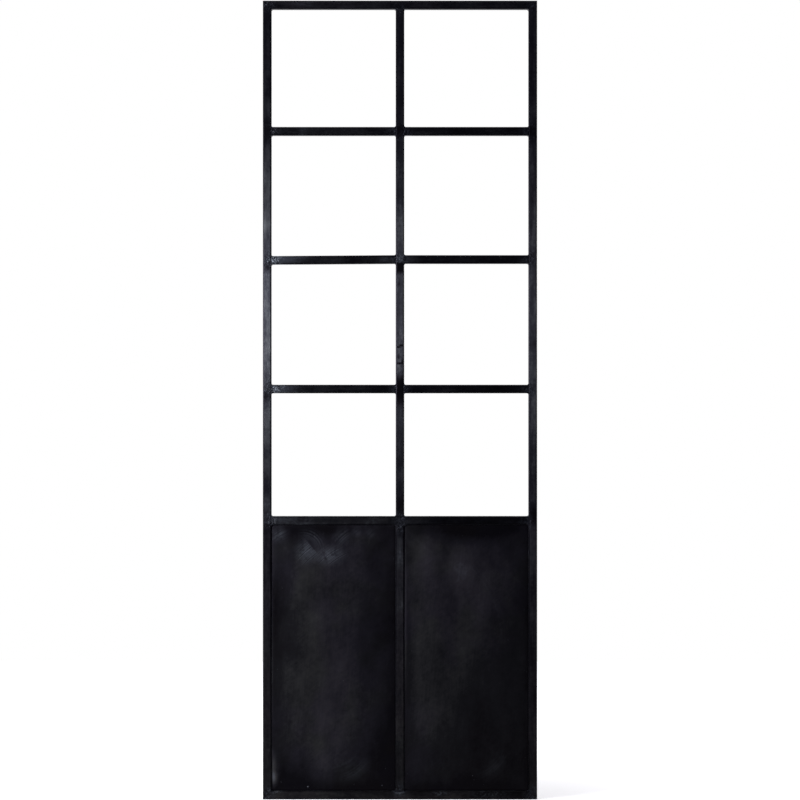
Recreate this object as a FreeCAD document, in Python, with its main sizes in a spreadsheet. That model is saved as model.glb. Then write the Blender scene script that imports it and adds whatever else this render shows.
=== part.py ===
import FreeCAD
import Part
import Sketcher
import math
import os
from FreeCAD import Placement, Rotation, Vector

# Glazing partition of welded square steel tube, with two sheet steel panels at the foot.
# Seen from the front, +X is to the right, +Z is up and the front faces -Y.
# The origin is the middle of the bottom rail's underside.
# All sizes are in millimetres.

# Driving sizes
SIZES = {
    # Over the outer faces of the mitred frame
    "frame_width": 800,
    "frame_height": 2330,
    # Square tube of the frame, the mullions and the bars
    "tube_side": 25,
    "tube_wall": 2,
    "tube_inner_corner": 2,
    # Clear heights of the open rows, from the top down
    "first_row": 343.5,
    "second_row": 349,
    "third_row": 353,
    "fourth_row": 358.5,
    # The left bar of the second level was welded in out of level
    "left_middle_bar_drop": 2.5,
    # Sheet of the two panels. It lies this far behind the tubes' front faces, so that its seams
    # stand on the flat of the tubes' sides, just behind their round edges
    "sheet_thickness": 1.5,
    "sheet_setback": 6,
    # Welds: corner beads, metal filled in flush at rounded edges, seams round the sheets
    "bead_leg": 4,
    "flush_width": 3.4,
    "seam_leg": 2,
}

# The hollow face of a bead is an arc of this many legs
BEAD_HOLLOW = 1.3

# How far a cutting outline runs past what it cuts
PAST = 5

# Sizes worked out from the driving ones
SIDE = "Sizes.tube_side"
HALF = "Sizes.tube_side / 2"
WALL = "Sizes.tube_wall"
OUTER_CORNER = "(Sizes.tube_inner_corner + Sizes.tube_wall)"
LEG = "Sizes.bead_leg"
FLUSH = "Sizes.flush_width"
SEAM = "Sizes.seam_leg"
SHEET = "Sizes.sheet_thickness"
SHEET_FRONT = f"(Sizes.sheet_setback - {HALF})"
COLUMN = "(Sizes.frame_width - 3 * Sizes.tube_side) / 2"
FRAME_LEFT = "-Sizes.frame_width / 2"
FRAME_RIGHT = "Sizes.frame_width / 2"
TOP_RAIL_LEVEL = "(Sizes.frame_height - Sizes.tube_side / 2)"
UPPER_BAR_LEVEL = f"({TOP_RAIL_LEVEL} - Sizes.first_row - {SIDE})"
MIDDLE_BAR_LEVEL = f"({UPPER_BAR_LEVEL} - Sizes.second_row - {SIDE})"
LOWER_BAR_LEVEL = f"({MIDDLE_BAR_LEVEL} - Sizes.third_row - {SIDE})"
MID_RAIL_LEVEL = f"({LOWER_BAR_LEVEL} - Sizes.fourth_row - {SIDE})"
BOTTOM_RAIL_LEVEL = f"({HALF})"
PANEL_HEIGHT = f"({MID_RAIL_LEVEL} - 1.5 * {SIDE})"

# Turns about the Y axis, in degrees. A part drawn along +X at no turn then runs:
RIGHTWARD = 0
DOWNWARD = 90
LEFTWARD = 180
UPWARD = 270

doc = FreeCAD.newDocument("iron_partition_wall")

sizes = doc.addObject("Spreadsheet::Sheet", "Sizes")
for row, (alias, value) in enumerate(SIZES.items(), start=1):
    sizes.set(f"A{row}", alias)
    sizes.set(f"B{row}", str(value))
    sizes.setAlias(f"B{row}", alias)
doc.recompute()

# Objects that are written out, by label
nodes = {}


def number(expression):
    """The present value of an expression over the sheet."""
    result = sizes.evalExpression(expression)
    return float(getattr(result, "Value", result))


def place(thing, x, y, z, turn=Rotation()):
    """Turns a thing and ties its position to the sheet."""
    thing.Placement = Placement(Vector(number(x), number(y), number(z)), turn)
    thing.setExpression("Placement.Base.x", x)
    thing.setExpression("Placement.Base.y", y)
    thing.setExpression("Placement.Base.z", z)


def about_y(degrees):
    return Rotation(Vector(0, 1, 0), degrees)


def new_body(label):
    body = doc.addObject("PartDesign::Body", label)
    body.Label = label
    return body


def new_sketch(body, name, plane_role):
    sketch = body.newObject("Sketcher::SketchObject", f"{body.Name}_{name}")
    plane = next(item for item in body.Origin.OriginFeatures if item.Role == plane_role)
    sketch.AttachmentSupport = [(plane, "")]
    sketch.MapMode = "FlatFace"
    return sketch


def tie(sketch, name, expression, kind, *where):
    """Adds one dimension to a sketch and ties it to the sheet."""
    index = sketch.addConstraint(Sketcher.Constraint(kind, *where, number(expression)))
    sketch.renameConstraint(index, name)
    sketch.setExpression(f"Constraints.{name}", expression)


def draw_rounded_square(sketch, name, side, corner):
    """Draws a square with round corners about the sketch's origin."""
    half = number(side) / 2
    radius = number(corner)
    flat = half - radius
    first = sketch.GeometryCount
    for quarter in range(4):
        turn = Rotation(Vector(0, 0, 1), 90 * quarter)
        line_start = turn.multVec(Vector(-flat, -half, 0))
        line_end = turn.multVec(Vector(flat, -half, 0))
        centre = turn.multVec(Vector(flat, -flat, 0))
        start_angle = math.radians(90 * quarter - 90)
        circle = Part.Circle(centre, Vector(0, 0, 1), radius)
        sketch.addGeometry(Part.LineSegment(line_start, line_end))
        sketch.addGeometry(Part.ArcOfCircle(circle, start_angle, start_angle + math.pi / 2))
    lines = [first + 2 * quarter for quarter in range(4)]
    arcs = [line + 1 for line in lines]
    for quarter in range(4):
        next_line = lines[(quarter + 1) % 4]
        direction = "Vertical" if quarter % 2 else "Horizontal"
        sketch.addConstraint(Sketcher.Constraint("Tangent", lines[quarter], 2, arcs[quarter], 1))
        sketch.addConstraint(Sketcher.Constraint("Tangent", arcs[quarter], 2, next_line, 1))
        sketch.addConstraint(Sketcher.Constraint(direction, lines[quarter]))
    for arc in arcs[1:]:
        sketch.addConstraint(Sketcher.Constraint("Equal", arcs[0], arc))
    sketch.addConstraint(Sketcher.Constraint("Symmetric", arcs[0], 3, arcs[2], 3, -1, 1))
    tie(sketch, f"{name}_corner", corner, "Radius", arcs[0])
    tie(sketch, f"{name}_width", side, "DistanceX", lines[3], 1, lines[1], 1)
    tie(sketch, f"{name}_height", side, "DistanceY", lines[0], 1, lines[2], 1)


def hollow_arc(start, end, radius):
    """An arc whose centre lies to the right of the way from start to end."""
    way = end - start
    outward = Vector(way.y, -way.x, 0).normalize()
    centre = (start + end) / 2 + outward * math.sqrt(radius**2 - (way.Length / 2) ** 2)
    from_angle = math.atan2(end.y - centre.y, end.x - centre.x)
    to_angle = math.atan2(start.y - centre.y, start.x - centre.x)
    if to_angle < from_angle:
        to_angle += 2 * math.pi
    return Part.ArcOfCircle(Part.Circle(centre, Vector(0, 0, 1), radius), from_angle, to_angle)


def draw_outline(sketch, corners, hollow_sides=(), radius=None):
    """Draws a closed outline, anticlockwise, through corners given as pairs of expressions.

    A side named in hollow_sides, by the number of its first corner, is a hollow arc.
    """
    points = [Vector(number(x), number(y), 0) for x, y in corners]
    ends = []
    for side, start in enumerate(points):
        end = points[(side + 1) % len(points)]
        if side in hollow_sides:
            edge = sketch.addGeometry(hollow_arc(start, end, number(radius)))
            ends.append((edge, 2, 1))
        else:
            edge = sketch.addGeometry(Part.LineSegment(start, end))
            ends.append((edge, 1, 2))
    for side, (edge, start_end, far_end) in enumerate(ends):
        next_edge, next_start, _ = ends[(side + 1) % len(ends)]
        joined = Sketcher.Constraint("Coincident", edge, far_end, next_edge, next_start)
        sketch.addConstraint(joined)
        x, y = corners[side]
        tie(sketch, f"x{side}", x, "DistanceX", -1, 1, edge, start_end)
        tie(sketch, f"y{side}", y, "DistanceY", -1, 1, edge, start_end)
        if side in hollow_sides:
            tie(sketch, f"hollow{side}", radius, "Radius", edge)


def add_symmetric(body, kind, sketch, length):
    """A pad or pocket that runs equally to both sides of its sketch."""
    feature = body.newObject(kind, f"{sketch.Name}_{kind[12:].lower()}")
    feature.Profile = sketch
    feature.Midplane = True
    feature.setExpression("Length", length)
    return feature


# Tubes


def add_tube(label, length, drop=None):
    """A square-cut tube along +Z of its own frame. With a drop its far end steps towards +X."""
    body = new_body(label)
    section = new_sketch(body, "section", "XY_Plane")
    draw_rounded_square(section, "outside", SIDE, OUTER_CORNER)
    draw_rounded_square(section, "inside", f"{SIDE} - 2 * {WALL}", "Sizes.tube_inner_corner")
    run = body.newObject("PartDesign::Pad", f"{label}_run")
    run.Profile = section
    run.setExpression("Length", length)
    if drop:
        run.UseCustomVector = True
        run.AlongSketchNormal = True
        run.Direction = Vector(number(drop), 0, number(length))
        run.setExpression("Direction.x", drop)
        run.setExpression("Direction.z", length)
    nodes[label] = body
    return body


def add_mitred_tube(label, length):
    """A tube along +Z whose ends are mitred, with its long side towards -X."""
    body = add_tube(label, length)
    low = f"-{HALF} - {PAST}"
    high = f"{HALF} + {PAST}"
    lower_end = new_sketch(body, "lower_mitre", "XZ_Plane")
    draw_outline(lower_end, [(low, f"-{PAST}"), (high, f"-{PAST}"), (high, f"{SIDE} + {PAST}")])
    upper_end = new_sketch(body, "upper_mitre", "XZ_Plane")
    above = f"{length} + {PAST}"
    draw_outline(upper_end, [(low, above), (high, f"{length} - {SIDE} - {PAST}"), (high, above)])
    for sketch in (lower_end, upper_end):
        add_symmetric(body, "PartDesign::Pocket", sketch, f"{SIDE} + {PAST}")
    return body


left_stile = add_mitred_tube("left_stile", "Sizes.frame_height")
place(left_stile, f"{FRAME_LEFT} + {HALF}", "0", "0")

right_stile = add_mitred_tube("right_stile", "Sizes.frame_height")
place(right_stile, f"{FRAME_RIGHT} - {HALF}", "0", "0", Rotation(Vector(0, 0, 1), 180))

# A tube turned about Y by 90 degrees runs to the right with its long side up
top_rail = add_mitred_tube("top_rail", "Sizes.frame_width")
place(top_rail, FRAME_LEFT, "0", TOP_RAIL_LEVEL, about_y(90))

bottom_rail = add_mitred_tube("bottom_rail", "Sizes.frame_width")
place(bottom_rail, FRAME_RIGHT, "0", BOTTOM_RAIL_LEVEL, about_y(-90))

mid_rail = add_tube("mid_rail", f"Sizes.frame_width - 2 * {SIDE}")
place(mid_rail, f"{FRAME_LEFT} + {SIDE}", "0", MID_RAIL_LEVEL, about_y(90))

upper_mullion = add_tube("upper_mullion", f"{TOP_RAIL_LEVEL} - {MID_RAIL_LEVEL} - {SIDE}")
place(upper_mullion, "0", "0", f"{MID_RAIL_LEVEL} + {HALF}")

lower_mullion = add_tube("lower_mullion", PANEL_HEIGHT)
place(lower_mullion, "0", "0", SIDE)

# Each bar is drawn from the mullion outwards: the right ones run to the right, the left ones to
# the left. Only the left middle bar steps down on its way out.
bar_levels = {
    "upper": UPPER_BAR_LEVEL,
    "middle": MIDDLE_BAR_LEVEL,
    "lower": LOWER_BAR_LEVEL,
}
bar_drops = {"left_middle_bar": "Sizes.left_middle_bar_drop"}
bars = {}
for height, level in bar_levels.items():
    right_bar = add_tube(f"right_{height}_bar", COLUMN)
    place(right_bar, HALF, "0", level, about_y(90))
    left_name = f"left_{height}_bar"
    drop = bar_drops.get(left_name)
    left_bar = add_tube(left_name, COLUMN, f"-{drop}" if drop else None)
    place(left_bar, f"-{HALF}", "0", level, about_y(-90))
    bars[right_bar.Label] = right_bar
    bars[left_bar.Label] = left_bar

# Panels

panel_lefts = {
    "left_panel": f"{FRAME_LEFT} + {SIDE}",
    "right_panel": HALF,
}
panels = {}
for label, left in panel_lefts.items():
    panel = doc.addObject("Part::Box", label)
    panel.Label = label
    panel.setExpression("Length", COLUMN)
    panel.setExpression("Width", SHEET)
    panel.setExpression("Height", PANEL_HEIGHT)
    place(panel, left, SHEET_FRONT, SIDE)
    nodes[label] = panel
    panels[label] = panel


# Seams that join the sheets to the tubes all round, on both faces


def add_seam(label, left, start, inner_first):
    """A weld of triangular section round a panel, starting at depth start.

    Its clear space is wide away from the sheet and narrow at it, and inner_first says
    that the sheet lies on the -Y side.
    """
    blank = doc.addObject("Part::Box", f"{label}_blank")
    blank.setExpression("Length", COLUMN)
    blank.setExpression("Width", SEAM)
    blank.setExpression("Height", PANEL_HEIGHT)
    clear = doc.addObject("Part::Wedge", f"{label}_clear")
    clear.Ymin = 0
    clear.setExpression("Ymax", SEAM)
    narrow, wide = ("", "2") if inner_first else ("2", "")
    for axis, full in (("X", COLUMN), ("Z", PANEL_HEIGHT)):
        clear.setExpression(f"{axis}{narrow}min", SEAM)
        clear.setExpression(f"{axis}{narrow}max", f"{full} - {SEAM}")
        clear.setExpression(f"{axis}{wide}min", "0")
        clear.setExpression(f"{axis}{wide}max", full)
    for piece in (blank, clear):
        place(piece, left, start, SIDE)
    seam = doc.addObject("Part::Cut", label)
    seam.Label = label
    seam.Base = blank
    seam.Tool = clear
    nodes[label] = seam
    return seam


seams = {}
for panel_name, left in panel_lefts.items():
    front_seam = add_seam(f"{panel_name}_front_seam", left, f"{SHEET_FRONT} - {SEAM}", False)
    back_seam = add_seam(f"{panel_name}_back_seam", left, f"{SHEET_FRONT} + {SHEET}", True)
    seams[panel_name] = [front_seam, back_seam]


# Beads. Each is drawn over the full depth of the tubes, dressed flush with their faces, and
# then loses what the tubes, sheets and seams beside it fill.


def add_bead_blank(label, outline, hollow_sides, clearing):
    """The blank of a bead, facing -Y.

    The outline goes right through. Between the tubes' walls only the hollow-faced fillets stay,
    and clearing is the outline of what goes there.
    """
    body = new_body(f"{label}_blank")
    face = new_sketch(body, "face", "XZ_Plane")
    draw_outline(face, outline, hollow_sides, f"{BEAD_HOLLOW} * {LEG}")
    add_symmetric(body, "PartDesign::Pad", face, SIDE)
    doc.recompute()
    inside = new_sketch(body, "inside", "XZ_Plane")
    draw_outline(inside, clearing)
    add_symmetric(body, "PartDesign::Pocket", inside, f"{SIDE} - 2 * {WALL}")
    return body


def finish_bead(label, blank, neighbours):
    beside = doc.addObject("Part::Compound", f"{label}_beside")
    beside.Links = neighbours
    bead = doc.addObject("Part::Cut", label)
    bead.Base = blank
    bead.Tool = beside
    return bead


def add_end_bead(label, x, z, turn, neighbours):
    """The weld round the end of a tube that butts on another's side.

    At no turn the tube runs towards +X from the other's face, which lies at x.
    """
    tip = f"{HALF} + {LEG}"
    notch = f"{HALF} - {FLUSH}"
    outline = [
        (f"-{FLUSH}", f"-({tip})"),
        ("0", f"-({tip})"),
        (LEG, f"-{HALF}"),
        (LEG, f"-({notch})"),
        ("0", f"-({notch})"),
        ("0", notch),
        (LEG, notch),
        (LEG, HALF),
        ("0", tip),
        (f"-{FLUSH}", tip),
    ]
    far_back = f"-{FLUSH} - {PAST}"
    far_out = f"{LEG} + {PAST}"
    far_up = f"{tip} + {PAST}"
    clearing = [
        (far_back, f"-({far_up})"),
        ("0", f"-({far_up})"),
        ("0", f"-{HALF}"),
        (far_out, f"-{HALF}"),
        (far_out, HALF),
        ("0", HALF),
        ("0", far_up),
        (far_back, far_up),
    ]
    blank = add_bead_blank(label, outline, (1, 7), clearing)
    place(blank, x, "0", z, about_y(turn))
    return finish_bead(label, blank, neighbours)


def add_corner_bead(label, x, z, turn, neighbours):
    """The weld inside a mitred corner. At no turn the opening lies to the right and below."""
    outline = [
        (f"-{FLUSH}", f"-{LEG}"),
        ("0", f"-{LEG}"),
        (LEG, "0"),
        (LEG, FLUSH),
        (f"-{FLUSH}", FLUSH),
    ]
    far_back = f"-{FLUSH} - {PAST}"
    far_out = f"{LEG} + {PAST}"
    far_up = f"{FLUSH} + {PAST}"
    clearing = [
        (far_back, f"-({far_out})"),
        ("0", f"-({far_out})"),
        ("0", "0"),
        (far_out, "0"),
        (far_out, far_up),
        (far_back, far_up),
    ]
    blank = add_bead_blank(label, outline, (1,), clearing)
    place(blank, x, "0", z, about_y(turn))
    return finish_bead(label, blank, neighbours)


def gather(label, pieces):
    """One node for the beads of a piece, which don't touch each other."""
    group = doc.addObject("Part::Compound", label)
    group.Label = label
    group.Links = pieces
    nodes[label] = group


# Faces of the stiles and of the mullion that look into the openings
LEFT_STILE_FACE = f"{FRAME_LEFT} + {SIDE}"
RIGHT_STILE_FACE = f"{FRAME_RIGHT} - {SIDE}"
MULLION_LEFT_FACE = f"-{HALF}"
MULLION_RIGHT_FACE = HALF

left_sheet = [panels["left_panel"], *seams["left_panel"]]
right_sheet = [panels["right_panel"], *seams["right_panel"]]

top_rail_underside = f"{TOP_RAIL_LEVEL} - {HALF}"
gather(
    "top_rail_welds",
    [
        add_corner_bead(
            "top_left_corner_bead",
            LEFT_STILE_FACE,
            top_rail_underside,
            0,
            [left_stile, top_rail],
        ),
        add_corner_bead(
            "top_right_corner_bead",
            RIGHT_STILE_FACE,
            top_rail_underside,
            90,
            [right_stile, top_rail],
        ),
        add_end_bead(
            "mullion_head_bead", "0", top_rail_underside, DOWNWARD, [top_rail, upper_mullion]
        ),
    ],
)

for height, level in bar_levels.items():
    left_name = f"left_{height}_bar"
    drop = bar_drops.get(left_name)
    outer_level = f"{level} - {drop}" if drop else level
    left_bar = bars[left_name]
    gather(
        f"{left_name}_welds",
        [
            add_end_bead(
                f"{left_name}_outer_bead",
                LEFT_STILE_FACE,
                outer_level,
                RIGHTWARD,
                [left_stile, left_bar],
            ),
            add_end_bead(
                f"{left_name}_inner_bead",
                MULLION_LEFT_FACE,
                level,
                LEFTWARD,
                [upper_mullion, left_bar],
            ),
        ],
    )
    right_name = f"right_{height}_bar"
    right_bar = bars[right_name]
    gather(
        f"{right_name}_welds",
        [
            add_end_bead(
                f"{right_name}_inner_bead",
                MULLION_RIGHT_FACE,
                level,
                RIGHTWARD,
                [upper_mullion, right_bar],
            ),
            add_end_bead(
                f"{right_name}_outer_bead",
                RIGHT_STILE_FACE,
                level,
                LEFTWARD,
                [right_stile, right_bar],
            ),
        ],
    )

gather(
    "mid_rail_welds",
    [
        add_end_bead(
            "mid_rail_left_bead",
            LEFT_STILE_FACE,
            MID_RAIL_LEVEL,
            RIGHTWARD,
            [left_stile, mid_rail, *left_sheet],
        ),
        add_end_bead(
            "mid_rail_right_bead",
            RIGHT_STILE_FACE,
            MID_RAIL_LEVEL,
            LEFTWARD,
            [right_stile, mid_rail, *right_sheet],
        ),
    ],
)

gather(
    "mullion_welds",
    [
        add_end_bead(
            "upper_mullion_foot_bead",
            "0",
            f"{MID_RAIL_LEVEL} + {HALF}",
            UPWARD,
            [mid_rail, upper_mullion],
        ),
        add_end_bead(
            "lower_mullion_head_bead",
            "0",
            f"{MID_RAIL_LEVEL} - {HALF}",
            DOWNWARD,
            [mid_rail, lower_mullion, *left_sheet, *right_sheet],
        ),
    ],
)

gather(
    "bottom_rail_welds",
    [
        add_corner_bead(
            "bottom_left_corner_bead",
            LEFT_STILE_FACE,
            SIDE,
            270,
            [left_stile, bottom_rail, *left_sheet],
        ),
        add_corner_bead(
            "bottom_right_corner_bead",
            RIGHT_STILE_FACE,
            SIDE,
            180,
            [right_stile, bottom_rail, *right_sheet],
        ),
        add_end_bead(
            "lower_mullion_foot_bead",
            "0",
            SIDE,
            UPWARD,
            [bottom_rail, lower_mullion, *left_sheet, *right_sheet],
        ),
    ],
)

doc.recompute()

# Nothing is written unless every object was built
for thing in doc.Objects:
    if "Invalid" in thing.State or "Error" in thing.State:
        raise RuntimeError(f"{thing.Label} was not built: {thing.State}")
for label, thing in nodes.items():
    if thing.Shape.isNull() or not thing.Shape.isValid() or not thing.Shape.Solids:
        raise RuntimeError(f"{label} has no valid solid")

os.makedirs("parts", exist_ok=True)
for label, thing in nodes.items():
    thing.Shape.exportStep(f"parts/{label}.step")
    print(label, len(thing.Shape.Solids), "solids", round(thing.Shape.Volume), "mm3")
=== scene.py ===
"""The looks of an iron partition wall: blackened and waxed steel tube and sheet, and its studio.

Everything is in metres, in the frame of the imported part: +X to the right seen from the front,
+Z up, the front faces -Y and the origin is under the middle of the bottom rail.
"""

import math
import random

import bpy
from bpy.props import FloatProperty, FloatVectorProperty, PointerProperty
from bpy.types import Operator, Panel, PropertyGroup
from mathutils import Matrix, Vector


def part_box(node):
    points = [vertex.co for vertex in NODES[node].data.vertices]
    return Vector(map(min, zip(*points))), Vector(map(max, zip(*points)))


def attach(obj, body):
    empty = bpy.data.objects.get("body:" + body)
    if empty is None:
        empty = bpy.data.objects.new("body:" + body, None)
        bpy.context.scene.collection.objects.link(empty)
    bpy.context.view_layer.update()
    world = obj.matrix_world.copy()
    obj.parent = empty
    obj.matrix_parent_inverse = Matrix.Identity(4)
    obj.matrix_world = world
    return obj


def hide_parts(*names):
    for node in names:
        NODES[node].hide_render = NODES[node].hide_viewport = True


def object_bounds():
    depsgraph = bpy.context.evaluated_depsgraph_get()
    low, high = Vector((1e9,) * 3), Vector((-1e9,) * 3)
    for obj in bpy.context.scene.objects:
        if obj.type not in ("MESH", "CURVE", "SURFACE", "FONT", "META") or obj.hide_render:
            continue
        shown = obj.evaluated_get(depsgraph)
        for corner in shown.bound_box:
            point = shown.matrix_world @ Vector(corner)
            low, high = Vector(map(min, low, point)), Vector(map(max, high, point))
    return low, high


bl_info = {
    "name": "Iron Partition Wall",
    "version": (1, 0, 0),
    "blender": (4, 5, 0),
    "location": "3D View > Sidebar > Partition",
    "description": "Dresses a welded steel partition and sets up its studio",
    "category": "Object",
}

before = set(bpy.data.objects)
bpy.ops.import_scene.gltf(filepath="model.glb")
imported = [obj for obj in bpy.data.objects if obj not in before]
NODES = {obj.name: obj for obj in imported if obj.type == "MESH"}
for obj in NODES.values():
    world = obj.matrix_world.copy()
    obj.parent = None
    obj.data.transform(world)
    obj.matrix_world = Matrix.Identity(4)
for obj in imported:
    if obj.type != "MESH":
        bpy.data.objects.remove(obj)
CAD_LOW, CAD_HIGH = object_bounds()
CAD_MIDDLE = (CAD_LOW + CAD_HIGH) / 2

BODY = "root"
UPWARD = (0, 0, 1)
LEVEL = (1, 0, 0)
UPRIGHTS = ["left_stile", "right_stile", "upper_mullion", "lower_mullion"]
LEVELS = ["top_rail", "bottom_rail", "mid_rail"] + [
    f"{side}_{height}_bar" for side in ("left", "right") for height in ("upper", "middle", "lower")
]
SHEETS = ["left_panel", "right_panel"]
SEAMS = [f"{sheet}_{face}_seam" for sheet in SHEETS for face in ("front", "back")]
BEADS = [name for name in NODES if name.endswith("_welds")]

# The photograph is square, and the object fills its height but for half a pixel at each end
PHOTO_SIDE_PX = 800
FRAME_HEIGHT_PX = 799.15
FRAME_MIDDLE_PX = 399.9
FRAME_FOOT_PX = 799.55
METRES_PER_PX = (CAD_HIGH.z - CAD_LOW.z) / FRAME_HEIGHT_PX


def linear(hex_colour):
    """An sRGB hex value as the linear red, green and blue that Blender works in."""
    channels = [int(hex_colour[i : i + 2], 16) / 255 for i in (1, 3, 5)]
    return tuple(c / 12.92 if c <= 0.04045 else ((c + 0.055) / 1.055) ** 2.4 for c in channels)


def per_metre(millimetres):
    """The scale that gives a pattern features of this size, on coordinates in metres."""
    return 1000 / millimetres


def spot_in(x_px, y_px):
    """The place that a point of the photograph shows, at mid depth in the partition."""
    x = (x_px - FRAME_MIDDLE_PX) * METRES_PER_PX
    z = (FRAME_FOOT_PX - y_px) * METRES_PER_PX
    return (x, 0.0, z)


# Settings


def length(name, default, description):
    """A length for the sidebar, in metres."""
    return FloatProperty(name=name, description=description, default=default, unit="LENGTH")


def colour(name, hex_colour, description):
    """A colour for the sidebar, from its sRGB hex value."""
    return FloatVectorProperty(
        name=name,
        description=description,
        default=linear(hex_colour),
        subtype="COLOR",
        min=0,
        max=1,
    )


class PartitionSizes(PropertyGroup):
    crown: length("Sheet crown", 0.0026, "How far the middle of a welded sheet bellies to the front")
    roll: length("Sheet roll", 0.0013, "How far a sheet comes forward within a few mm of its seam")
    waviness: length("Sheet waviness", 0.0007, "Depth of the slow waves that welding left in the sheets")
    buckle: length("Sheet buckle", 0.0032, "Height of the pucker low on the left sheet's outer border")
    bead_roughness: length("Bead roughness", 0.00045, "Depth of the pits and ripples in the dressed welds")
    camera_distance: length("Camera distance", 8.0, "From the lens to the front faces of the tubes")


class PartitionColours(PropertyGroup):
    steel: colour("Blackened steel", "#2a2b31", "Waxed black oxide on tube and sheet")
    steel_violet: colour("Violet steel", "#2e2d34", "Thinner oxide, which looks violet")
    steel_worn: colour("Worn steel", "#484a4e", "Where the black is thin and grey steel shows through")
    worn_violet: colour("Worn violet steel", "#48464c", "The same where the oxide is violet")
    # Painted shade, on the round edges and under the mid rail, reaches this black too
    steel_deep: colour("Deep black", "#1b1a1f", "Thick oxide and wax that the cloth didn't reach")
    heat_blue: colour("Heat blue", "#383c44", "The temper colour that welding leaves beside a joint")
    # Painted highlights, on the seams, the pucker and a weld bead's rim, reach this bare steel too
    scratched: colour("Scratched steel", "#88909a", "Bare steel at the bottom of disc marks and scratches")


# Materials

# How much blacker a post and paler a bar is where the weld was ground off, partly painted shade
# for the sheen a post loses there and painted highlight for a bar's glint, how far that reaches,
# and how far apart two tubes can be and still share a joint
JOINT_TONES = {UPWARD: -0.22, LEVEL: 0.1}
JOINT_REACH = 0.04
TOUCH = 0.001

# The round edges of a tube: how wide, how much painted shade darkens them, and the share of that shade
# taken off low down
EDGE_WIDTH = 0.0045
PAINTED_EDGE_SHADE = -1.15
EDGE_SHADE_OFF_LOW = 0.75


class Shader:
    """The node tree of one finish."""

    def __init__(self, name):
        self.material = bpy.data.materials.new(name)
        self.material.use_nodes = True
        self.tree = self.material.node_tree
        self.tree.nodes.clear()
        self.surface = add(self.tree, "BsdfPrincipled")
        add(self.tree, "OutputMaterial", {"Surface": self.surface})
        self.place = add(self.tree, "TexCoord").outputs["Object"]

    def add(self, kind, inputs=None, **settings):
        return add(self.tree, kind, inputs, **settings)

    def finish(self, **inputs):
        """Sets the metal's inputs, by their names with _ for a space."""
        for name, value in inputs.items():
            join(self.tree, value, self.surface.inputs[name.replace("_", " ")])
        return self.material


def join(tree, value, target):
    """Gives an input a value, a socket, or a node's first live output."""
    if isinstance(value, bpy.types.Node):
        value = next(socket for socket in value.outputs if socket.enabled)
    if isinstance(value, bpy.types.NodeSocket):
        tree.links.new(value, target)
    else:
        target.default_value = value


def add(tree, kind, inputs=None, **settings):
    """Adds a shader node with its settings, and gives its inputs their values or links."""
    node = tree.nodes.new(f"ShaderNode{kind}")
    for name, value in settings.items():
        setattr(node, name, value)
    for name, value in (inputs or {}).items():
        join(tree, value, node.inputs[name])
    return node


def weighed(s, start, *layers):
    """start, plus each pattern times its weight."""
    total = start
    for pattern, weight in layers:
        total = s.add("Math", {0: pattern, 1: weight, 2: total}, operation="MULTIPLY_ADD")
    return total


def product(s, *patterns):
    """All the patterns, multiplied."""
    result = patterns[0]
    for pattern in patterns[1:]:
        result = s.add("Math", {0: result, 1: pattern}, operation="MULTIPLY")
    return result


def patch(s, centre, reach, squash=(1, 1)):
    """1 in the middle of a soft patch and 0 from this distance, at any depth in the partition.

    The squash, across and upwards, makes it smaller where it is over 1 and larger where under 1.
    """
    across, upward = squash
    away = s.add("VectorMath", {0: s.place, 1: centre}, operation="SUBTRACT")
    away = s.add("VectorMath", {0: away, 1: (across, 0, upward)}, operation="MULTIPLY")
    away = s.add("VectorMath", {0: away}, operation="LENGTH")
    inputs = {"Value": away, "From Min": reach, "From Max": 0.0}
    return s.add("MapRange", inputs, interpolation_type="SMOOTHSTEP")


def disc_marks(s, centre, radius, width, pitch_mm):
    """Arcs that the rim of a grinding disc leaves, in a ring around a centre.

    The disc's single scratches are too fine to show, so each arc stands for a bundle of them.
    """
    away = s.add("VectorMath", {0: s.place, 1: centre}, operation="DISTANCE")
    inputs = {"W": away, "Scale": per_metre(pitch_mm), "Detail": 3.0}
    arcs = s.add("TexNoise", inputs, noise_dimensions="1D")
    arcs = s.add("MapRange", {"Value": arcs, "From Min": 0.24, "From Max": 0.7})
    off = s.add("Math", {0: away, 1: radius}, operation="SUBTRACT")
    off = s.add("Math", {0: off}, operation="ABSOLUTE")
    inputs = {"Value": off, "From Min": width, "From Max": 0.0}
    ring = s.add("MapRange", inputs, interpolation_type="SMOOTHSTEP")
    return product(s, arcs, ring)


def beyond(s, start, end, fade):
    """1 to the left of a line that runs from start to end in the photograph, 0 to its right."""
    run_x, run_z = end[0] - start[0], end[2] - start[2]
    run = math.hypot(run_x, run_z)
    away = s.add("VectorMath", {0: s.place, 1: start}, operation="SUBTRACT")
    inputs = {0: away, 1: (-run_z / run, 0, run_x / run)}
    aside = s.add("VectorMath", inputs, operation="DOT_PRODUCT").outputs["Value"]
    return s.add("MapRange", {"Value": aside, "From Max": fade})


def strokes(s, angle, width_mm, length_mm, shift, low, high):
    """Straight strokes in the plane of the partition, at an angle from level.

    They are where a noise passes from low to high, and the shift gives each set its own noise.
    """
    inputs = {"Vector": s.place, "Location": (shift, 0, 0), "Rotation": (0, math.radians(angle), 0)}
    turned = s.add("Mapping", inputs)
    drawn = s.add("Mapping", {"Vector": turned, "Scale": (per_metre(length_mm), 1, per_metre(width_mm))})
    lines = s.add("TexNoise", {"Vector": drawn, "Scale": 1.0})
    return s.add("MapRange", {"Value": lines, "From Min": low, "From Max": high})


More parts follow.
